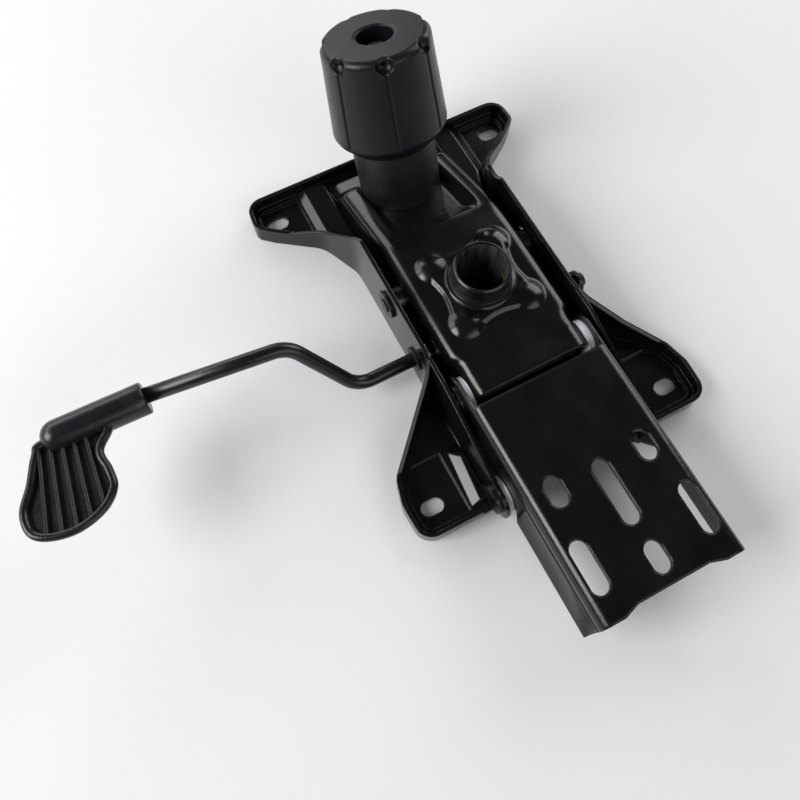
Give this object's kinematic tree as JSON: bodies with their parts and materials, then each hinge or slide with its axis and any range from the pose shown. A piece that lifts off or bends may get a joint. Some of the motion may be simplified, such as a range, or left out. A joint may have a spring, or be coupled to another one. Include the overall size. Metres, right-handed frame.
{
  "type": "office chair tilt mechanism",
  "caption": "Pressed steel chair tilt mechanism with butterfly seat plate, gas lift socket, slotted back bracket, tension knob and cranked lever.",
  "frame": {"origin": "where the gas lift's axis meets the plane of the seat plate's ear pads", "axes": "+X across the chair, away from the lever; +Y towards the chair's front and the knob; +Z away from the seat, along the lift socket towards its mouth"},
  "size_m": [0.3425, 0.3284, 0.1134],
  "materials": {
    "coated_steel": "satin black powder coat",
    "black_plastic": "fine grained black plastic",
    "white_nylon": "plain white nylon",
    "dark_fasteners": "dark zinc",
    "zinc_steel": "bright zinc",
    "spring_steel": "oiled spring steel"
  },
  "bodies": {
    "housing": {"housing": "coated_steel", "lift_socket": "coated_steel", "spring_sleeve": "black_plastic", "spring_base_washer": "zinc_steel", "tension_spring": "spring_steel", "front_slide_pins": "dark_fasteners", "slide_pin_clips": "dark_fasteners"},
    "bracket": {"back_bracket": "coated_steel", "main_pivot_pin": "dark_fasteners", "main_pivot_washers": "white_nylon", "main_pivot_clips": "dark_fasteners"},
    "seat": {"seat_plate": "coated_steel", "rod_bushes": "black_plastic", "bolt_anchor": "coated_steel", "rear_pivot_rivets": "dark_fasteners", "rear_pivot_washers": "white_nylon"},
    "bolt": {"tension_bolt": "zinc_steel"},
    "carriage": {"thrust_washer": "zinc_steel"},
    "knob": {"tension_knob": "black_plastic", "knob_nut": "zinc_steel"},
    "lock": {"lock_collar": "zinc_steel"},
    "lever": {"lever_rod": "coated_steel", "lever_paddle": "black_plastic", "lift_tab": "coated_steel", "rod_end_clip": "dark_fasteners"}
  },
  "joints": [
    {"name": "recline", "type": "hinge", "parent": "housing", "child": "bracket", "pos_m": [0, -0.05, 0.03], "axis": [-1, 0, 0], "range_deg": [0, 15], "stiffness_Nm_per_rad": 40, "springref_deg": -11.46},
    {"name": "seat_tilt", "type": "hinge", "parent": "bracket", "child": "seat", "pos_m": [0, -0.102, 0.016], "axis": [-1, 0, 0], "range_deg": [-8.7, 0]},
    {"name": "bolt_pull", "type": "slide", "parent": "housing", "child": "bolt", "axis": [0, -0.3256, -0.9455], "range_m": [0, 0.0099]},
    {"name": "knob_travel", "type": "slide", "parent": "bolt", "child": "carriage", "axis": [0, -0.3256, -0.9455], "range_m": [0, 0.00526], "stiffness_N_per_m": 40, "springref_m": -0.045},
    {"name": "knob_turn", "type": "hinge", "parent": "carriage", "child": "knob", "pos_m": [0, 0.091, 0.01825], "axis": [0, -0.3256, -0.9455], "range_deg": [0, 1080], "deforming": ["tension_spring"]},
    {"name": "lock_slide", "type": "slide", "parent": "seat", "child": "lock", "axis": [1, 0, 0], "range_m": [0, 0.005]},
    {"name": "lift_turn", "type": "hinge", "parent": "lock", "child": "lever", "pos_m": [0, -0.014, 0.017], "axis": [1, 0, 0], "range_deg": [0, 12], "stiffness_Nm_per_rad": 1.2, "springref_deg": -8.59}
  ],
  "couplings": [
    {"joint": "seat_tilt", "follows": "recline", "ratio": -0.5648},
    {"joint": "bolt_pull", "follows": "recline", "m_per_rad": 0.03705},
    {"joint": "knob_travel", "follows": "knob_turn", "m_per_rad": 0.00027852}
  ]
}
